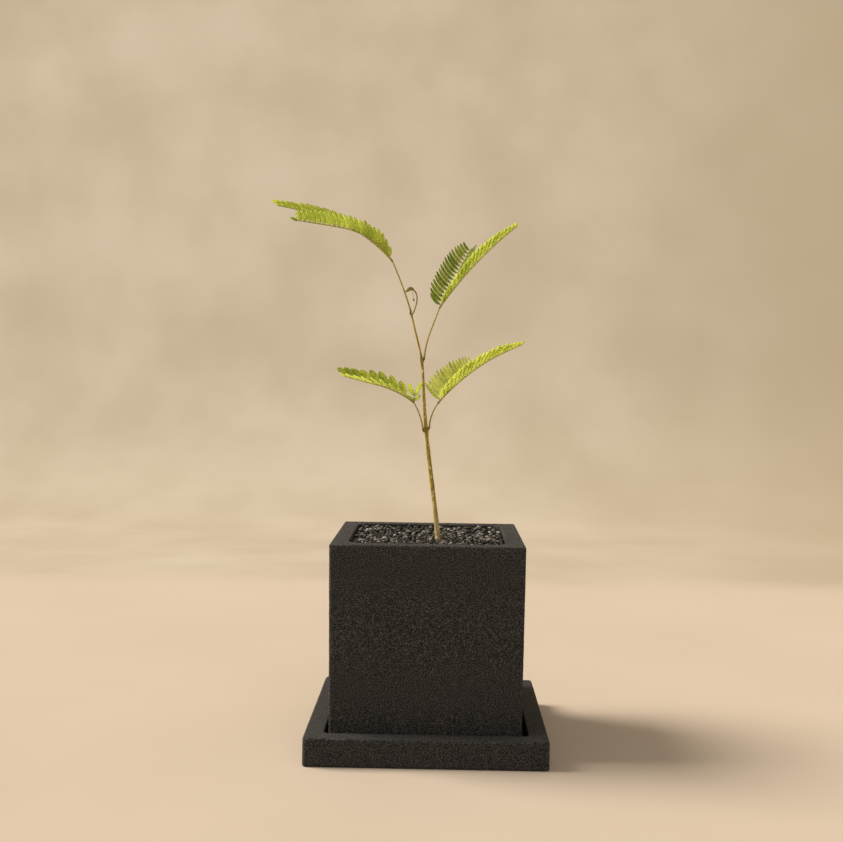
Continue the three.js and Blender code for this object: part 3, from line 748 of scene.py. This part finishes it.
def gravel_bed(look):
    """Fine grit below the grains, down to the soil, painted nearly black as shade."""
    random = np.random.default_rng(GRIT.seed + 1)
    inner = POT.side - 2 * POT.wall - 2 * GRIT.clear
    flat = outline(inner, POT.inner_corner, BED.side_points, BED.corner_points)
    rim = ring(flat, GRIT.low, POT.x)
    centre = np.array((POT.x, 0, GRIT.low))
    rows = [ring(flat, BED.low, POT.x)]
    for share in np.linspace(1, BED.inmost, BED.rings):
        row = centre + (rim - centre) * share
        row[:, 2] += random.uniform(0, BED.rough, len(row)) * (share < 1)
        rows.append(row)
    points, faces = closed_stack(rows)
    shape = Shape("tone", "open")
    # Painted shade: its low `open` makes the grit nearly black.
    shape.add(points, faces, tone=BED.tone, open=BED.open)
    shape.piece("gravel_bed", "lava_grit", [look], "gravel")


# The stem.

def bark_relief(turn, height):
    """The relief of the bark at a place on the stem, as a share of the stem's radius."""
    x, y = math.cos(turn), math.sin(turn)
    uneven = noise.noise(Vector((x * 1.2, y * 1.2, height / 4)))
    ridges = noise.noise(Vector((x * 3, y * 3, height / 14 + 7)))
    return STEM.uneven * uneven + STEM.ridges * ridges


def bark_specks(heights, turns):
    """How much of a pale speck there is, from 0 to 1, at each height and turn of the stem."""
    random = np.random.default_rng(SPECKS.seed)
    speck = np.zeros((len(heights), len(turns)))
    for _ in range(SPECKS.count):
        middle, heading = random.uniform(*SPECKS.heights), random.uniform(0, 2 * math.pi)
        tall, wide = random.uniform(*SPECKS.tall), random.uniform(*SPECKS.turn)
        off = np.abs((turns - heading + math.pi) % (2 * math.pi) - math.pi)
        speck = np.maximum(speck, hump(heights - middle, tall)[:, None] * hump(off, wide))
    return speck


def stem(look):
    """The stem and its tap root, with swollen nodes, ridged bark and pale specks."""
    points = along_curve(STEM.route, STEM.steps)
    heights, widths = np.array(STEM.diameters).T
    z = points[:, 2]
    radius = np.interp(z, heights, widths) / 2
    dark = np.zeros(len(z))
    for node in NODES.values():
        above = z - node.at[2]
        radius = np.maximum(radius, radius + (node.radius - radius) * hump(above, NODE.tall))
        dark = np.maximum(dark, NODE.dark * hump(above - NODE.dark_above, NODE.dark_tall))
    turns = round_turns(STEM.sides)
    relief = np.array([[bark_relief(turn, height) for turn in turns] for height in z])
    speck = bark_specks(z, turns)
    radii = radius[:, None] * (1 + relief) + SPECKS.proud * speck
    shape = Shape("speck", "dark")
    add_tube(shape, points, radii, STEM.sides, dark=dark, speck=speck)
    shape.piece("stem_and_root", "bark", [look], "stem")


# Leaves.

def direction(heading, rise):
    a, e = math.radians(heading), math.radians(rise)
    return np.array((math.cos(e) * math.cos(a), math.cos(e) * math.sin(a), math.sin(e)))


def aim(growth, t):
    """A shoot's heading and rise at a share of its length."""
    return growth.heading + growth.turn * t, mix(growth.rise, min(t / growth.settle, 1) ** growth.ease)


def grow(start, growth, steps):
    """The middle line of a shoot."""
    points = [np.asarray(start, float)]
    for i in range(steps):
        ahead = direction(*aim(growth, (i + 0.5) / steps))
        points.append(points[-1] + ahead * growth.length / steps)
    return np.array(points)


def axes_at(growth, t):
    """A pinna's axes: along it, to its left, and up out of the plane of its leaflets."""
    heading, rise = aim(growth, t)
    roll = math.radians(mix(growth.roll, t))
    along, level = direction(heading, rise), direction(heading + 90, 0)
    left = level * math.cos(roll) + np.cross(along, level) * math.sin(roll)
    return along, left, np.cross(along, left)


def length_share(growth, t):
    """A leaflet's length at a place on its pinna, as a share of a full one's."""
    first, full, last = growth.shares
    start = growth.shorten
    if t < full:
        return mix((first, 1), t / full)
    return mix((1, last), (max(0, t - start) / (1 - start)) ** growth.curve)


def leaflet_axes(growth, t, side, random):
    """A leaflet's axes (along, across to the front and out of its upper face) and spread. Side 1 is the
    left row, and side -1 the right one."""
    along, left, above = axes_at(growth, t)
    fold = mix(growth.fold, t) + growth.folded[side < 0]
    fold = math.radians(fold + random.uniform(-0.5, 0.5) * WOBBLE.fold * growth.even)
    spread = mix(growth.spread, t)
    spread = math.radians(spread + random.uniform(-0.5, 0.5) * WOBBLE.spread * growth.even)
    lift = math.radians(growth.lift)
    out = left * side * math.cos(fold) + above * math.sin(fold)
    face = above * math.cos(fold) - left * side * math.sin(fold)
    ahead = along * math.cos(spread) + out * math.sin(spread)
    front = along * math.sin(spread) - out * math.cos(spread)
    across = front * math.cos(lift) + face * math.sin(lift)
    normal = face * math.cos(lift) - front * math.sin(lift)
    return (ahead, across, normal), spread


def half_width(u):
    """A leaflet's half width along it, as a share of the full one: a narrow base and a blunt tip."""
    size = OUTLINE
    base = size.base + (1 - size.base) * smooth(size.base_from, size.full, u)
    past = np.clip((u - size.tip_from) / (size.tip_end - size.tip_from), 0, 1)
    tip = np.sqrt(1 - past ** size.blunt)
    return base * tip * (1 - size.taper * u)


def blade_faces(rows, columns):
    """A thin blade's faces between an upper and a lower grid of points: its upper ones, and the rest."""
    below = rows * columns
    top = turned_over(grid_faces(rows, columns))
    bottom = [tuple(i + below for i in face) for face in grid_faces(rows, columns)]
    loop = [i * columns for i in range(rows)] + [(rows - 1) * columns + j for j in range(1, columns)]
    loop += [i * columns + columns - 1 for i in range(rows - 2, -1, -1)]
    loop += list(range(columns - 2, 0, -1))
    rim = [(a + below, b + below, b, a) for a, b in zip(loop, loop[1:] + loop[:1])]
    return top, bottom + rim


def add_leaflet(shape, root, axes, length, width, bend, spread, tone, random):
    """A leaflet whose front half widens no faster than its spread from the rachis lets it."""
    ahead, across, normal = axes
    rows, columns = BLADE.rows, BLADE.columns
    s = np.linspace(0, 1, rows)
    u = (0.45 * s + 0.55 * (1 - np.cos(math.pi * s)) / 2)[:, None]
    widest = math.pi / 2 * BLADE.crowd
    v = np.sin(np.linspace(-widest, widest, columns))[None] / math.sin(widest)
    arch = random.uniform(-1, 1) * WOBBLE.arch
    out = u * length
    half = width / 2 * half_width(u)
    slope = OUTLINE.front_slope * math.tan(min(spread, OUTLINE.steepest))
    front = np.minimum(half, OUTLINE.front + slope * out)
    wide = np.where(v > 0, front, half) * v + bend * length * u ** 2
    cup = BLADE.cup * v ** 2 + BLADE.groove * hump(v, BLADE.groove_width)
    rise = arch * length * u ** 2 - cup * width
    flat = root + out[..., None] * ahead + wide[..., None] * across + rise[..., None] * normal
    skin = (BLADE.thick / 2 * (1 - BLADE.thinner * v ** 4) + 0 * u)[..., None] * normal
    points = np.concatenate([(flat + skin).reshape(-1, 3), (flat - skin).reshape(-1, 3)])
    top, rest = blade_faces(rows, columns)
    if np.dot(np.cross(ahead, across), normal) < 0:
        top, rest = turned_over(top), turned_over(rest)
    tone += (random.random() - 0.5) * WOBBLE.tone
    first = len(shape.faces)
    shape.add(points, top + rest, 0, tone=tone, along=np.tile((u + 0 * v).ravel(), 2),
              across=np.tile((v + 0 * u).ravel(), 2))
    shape.slots[first + len(top):] = [1] * len(rest)


def add_rachis(shape, points, length):
    """A pinna's rachis, swollen and dark at its base, which ends in a fine point."""
    t = np.linspace(0, 1, len(points))
    radii = mix(RACHIS.radius, t) * (1 + RACHIS.swell * hump(t * length, RACHIS.swell_length))
    dark = RACHIS.dark * hump(t * length, RACHIS.dark_length)
    tip = points[-1] + unit(points[-1] - points[-2]) * RACHIS.beyond
    add_tube(shape, np.vstack([points, tip]), np.append(radii, RACHIS.end_radius), RACHIS.sides, 2,
             green=np.append(smooth(0, RACHIS.green_by, t), 1), dark=np.append(dark, RACHIS.end_dark))


def pinna(shape, start, growth, random):
    """A rachis with its left and right row of leaflets."""
    points = grow(start, growth, RACHIS.steps)
    add_rachis(shape, points, growth.length)
    t = np.linspace(0, 1, len(points))
    bay = (1 - growth.first) / (growth.pairs - 0.5)
    for k in range(growth.pairs):
        at = growth.first + k * bay
        share = length_share(growth, at)
        _, left, above = axes_at(growth, at)
        middle = np.array([np.interp(at, t, points[:, i]) for i in range(3)])
        for side in (1, -1):
            axes, spread = leaflet_axes(growth, at, side, random)
            length = growth.leaflet[0] * share * (1 + random.uniform(-1, 1) * WOBBLE.length)
            length *= growth.longer[side < 0]
            wide = growth.leaflet[1] * min(1, share * growth.keep)
            wide *= BLADE.fuller * growth.wider[side < 0]
            width = min(wide, bay * growth.length * math.sin(spread) * growth.room)
            seat = mix(RACHIS.radius, at) * RACHIS.seat
            root = middle + (left * side + above * RACHIS.seat_up) * seat
            # The row's tone is partly painted light and shade.
            add_leaflet(shape, root, axes, length, width, growth.bend, spread, growth.tone[side < 0],
                        random)
    if growth.bud:
        add_end_bud(shape, points[-1], growth, random)


def add_end_bud(shape, tip, growth, random):
    """Two small closed leaflets, still grey-green, at the end of a pinna that is growing."""
    along, left, above = axes_at(growth, 1)
    for side in (1, -1):
        ahead = unit(along + END_BUD.open * left * side + END_BUD.rise * above)
        across = unit(above - np.dot(above, ahead) * ahead)
        root = tip + left * side * END_BUD.apart
        length = growth.bud * (1 - END_BUD.shorter * (side < 0))
        add_leaflet(shape, root, (ahead, across, np.cross(ahead, across)), length, END_BUD.width,
                    END_BUD.bend, math.pi / 4, END_BUD.tone, random)


def leaf(name, growth, looks):
    """A leaf: its petiole with a swollen foot, and its pinnae."""
    random = np.random.default_rng(growth.seed)
    shape = Shape("along", "across", "tone", "green", "dark")
    petiole = growth.petiole
    out = direction(petiole.heading, 0)
    node = np.array(NODES[growth.node].at, float)
    points = grow(node + out * growth.out + (0, 0, growth.up), petiole, PETIOLE.steps)
    heel = node + out * PETIOLE.heel_out + (0, 0, growth.up - PETIOLE.heel_low)
    points = np.vstack([heel, (heel + points[0]) / 2 + out * PETIOLE.belly, points])
    gone = gone_along(points)
    t = gone / gone[-1]
    swollen = 1 + PETIOLE.swell * (1 - smooth(PETIOLE.foot, PETIOLE.foot + PETIOLE.fade, gone))
    dark = 1 - smooth(PETIOLE.dark_from, PETIOLE.dark_to, gone)
    add_tube(shape, points, mix(PETIOLE.radius, t) * swollen, PETIOLE.sides, 2,
             green=PETIOLE.green * t, dark=PETIOLE.dark * dark)
    for each in growth.pinnae:
        pinna(shape, points[-1], each, random)
    shape.piece(name + "_blades", "leaf", looks, name)


def add_young_bud(shape, hook):
    """The folded bud at the end of the hook, with ridges side by side round its middle line."""
    bud = YOUNG_BUD
    ahead = direction(YOUNG.heading, bud.rise)
    end = hook[-1] + ahead * np.linspace(bud.start, bud.length, 8)[:, None]
    line = even(np.vstack([hook[int(len(hook) * bud.share):], end]), bud.steps)
    _, level, over = frames(line)
    swell = (np.sin(math.pi * np.linspace(0, 1, len(line)) ** 0.85) ** 0.6)[:, None]
    low, more = bud.radius
    for k, a in enumerate(round_turns(bud.ridges) + bud.turn):
        path = line + (level * math.cos(a) + over * math.sin(a)) * bud.apart * swell
        add_tube(shape, path, low + more * swell, bud.sides, green=bud.green * (k % 2))


def add_thread(shape, hook):
    """The thin thread that hangs inside the hook, and the drop at its end."""
    top = hook[int(len(hook) * THREAD.share)]
    line = along_curve(top + np.array(THREAD.points), THREAD.steps)
    add_tube(shape, line, np.full(len(line), THREAD.radius), THREAD.sides, green=THREAD.green)
    reach = np.linspace(*DROP.reach, DROP.rows)[:, None]
    low, more = DROP.radius
    swell = np.sin(math.pi * np.linspace(0, 1, DROP.rows))
    add_tube(shape, line[-1] + np.array(DROP.towards) * reach, low + more * swell, DROP.sides)


def young_leaf(look):
    """The new leaf: a hook that tapers, its bud, and its thread."""
    shape = Shape("green")
    node = np.array(NODES[YOUNG.node].at, float)
    start = node + direction(YOUNG.heading, 0) * YOUNG.out + (0, 0, YOUNG.up)
    heel = node + (0, 0, -YOUNG.heel_low)
    hook = np.vstack([heel, grow(start, YOUNG, YOUNG.steps)])
    t = np.linspace(0, 1, len(hook))
    add_tube(shape, hook, mix(YOUNG.radius, t), PETIOLE.sides, green=YOUNG.green * (1 - t))
    add_young_bud(shape, hook)
    add_thread(shape, hook)
    shape.piece("young_leaf_hook", "young_leaf", [look], "young_leaf")


# The stage.

def camera():
    down, left, roll = np.radians([CAMERA.down, CAMERA.left, CAMERA.roll])
    data = bpy.data.cameras.new("camera")
    data.lens = data.sensor_width * CAMERA.focal_px / CAMERA.width_px
    data.clip_start = 0.01
    made = placed("camera", data)
    made.matrix_world = (
        Matrix.Translation(Vector(CAMERA.place) * MM) @ Matrix.Rotation(left, 4, "Z")
        @ Matrix.Rotation(math.pi / 2 - down, 4, "X") @ Matrix.Rotation(roll, 4, "Z"))
    bpy.context.scene.camera = made


def stage_look():
    """A matt floor, and a wall that glows, with a haze and with painted shade that darkens it towards the
    right.
    """
    look = Look("stage", Roughness=0.9, Specular_IOR_Level=0.1, Emission_Strength=1.0)
    haze = look.noise(140, 3.0)
    place = look.axes()
    floor = look.blend(haze, (0.50, 0.415, 0.325), (0.56, 0.47, 0.375))
    wall = look.blend(look.step(haze, 0.25, 0.8), (0.49, 0.388, 0.266), (0.60, 0.486, 0.35))
    # Painted shade: the wall's glow darkens towards the right.
    wall = look.blend(look.step(place["X"], 0.0, 0.7), wall, (0.42, 0.325, 0.21))
    share = look.calc("MAXIMUM", look.step(place["Z"], 0.0, 0.05), look.step(place["Y"], 0.37, 0.47))
    return look.set(
        Base_Color=look.blend(share, floor, (0.10, 0.08, 0.055)),
        Emission_Color=look.blend(share, (0.0, 0.0, 0.0), wall))


def stage():
    """A pale floor that curves up into a warm wall far behind."""
    far, bend, half = STAGE.far, STAGE.bend, STAGE.half_width
    profile = [(STAGE.near, 0), (far, 0)]
    for a in np.linspace(STAGE.bend_from, math.pi / 2, STAGE.steps):
        profile.append((far + bend * math.sin(a), bend * (1 - math.cos(a))))
    profile.append((far + bend, STAGE.top))
    points = [(x * MM, y * MM, z * MM) for y, z in profile for x in (-half, half)]
    mesh = bpy.data.meshes.new("stage")
    mesh.from_pydata(points, [], turned_over(grid_faces(len(profile), 2)))
    mesh.materials.append(stage_look())
    mesh.shade_smooth()
    made = placed("stage", mesh)
    made.visible_shadow = False


def sun(name, towards, angle, strength, colour):
    """A distant light that stands in a direction and looks so many degrees wide."""
    data = bpy.data.lights.new(name, "SUN")
    data.angle = math.radians(angle)
    data.energy = strength
    data.color = colour
    placed(name, data).rotation_euler = Vector(towards).to_track_quat("Z", "Y").to_euler()


def lights():
    """A window on the left, a little behind the plant, and soft light all round."""
    sun("window", towards=(-0.75, 0.14, 0.65), angle=30, strength=4.6, colour=(1.0, 0.93, 0.84))
    sun("room", towards=(0.3, -0.8, 0.7), angle=60, strength=0.43, colour=(1.0, 0.96, 0.92))
    world = bpy.data.worlds.new("world")
    world.use_nodes = True
    back = world.node_tree.nodes["Background"]
    back.inputs["Color"].default_value = (0.92, 0.84, 0.74, 1)
    back.inputs["Strength"].default_value = 0.42
    bpy.context.scene.world = world
    bpy.context.scene.view_settings.view_transform = "Standard"


ceramic = ceramic_look()
grit = grit_look()
stalk = stalk_look()
upper = blade_look(
    "leaflet_upper", dark=(0.065, 0.10, 0.012), light=(0.34, 0.38, 0.08), rib=(0.44, 0.48, 0.16),
    edge=(0.64, 0.67, 0.28), through=((0.36, 0.47, 0.08), (0.955, 1.0, 0.43)), share=0.82)
lower = blade_look(
    "leaflet_lower", dark=(0.13, 0.18, 0.05), light=(0.66, 0.70, 0.13), rib=(0.66, 0.68, 0.2),
    edge=(0.76, 0.78, 0.32), through=((0.42, 0.53, 0.10), (0.955, 1.0, 0.43)), share=0.74)

pot(ceramic)
saucer(ceramic)
gravel(grit)
gravel_bed(grit)
stem(bark_look())
for name, growth in LEAVES.items():
    leaf(name, growth, [upper, lower, stalk])
young_leaf(bud_look())

for node, look in (("soil", soil_look()), ("drain_net", net_look())):
    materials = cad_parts[node].data.materials
    materials.clear()
    materials.append(look)

stage()
lights()
camera()
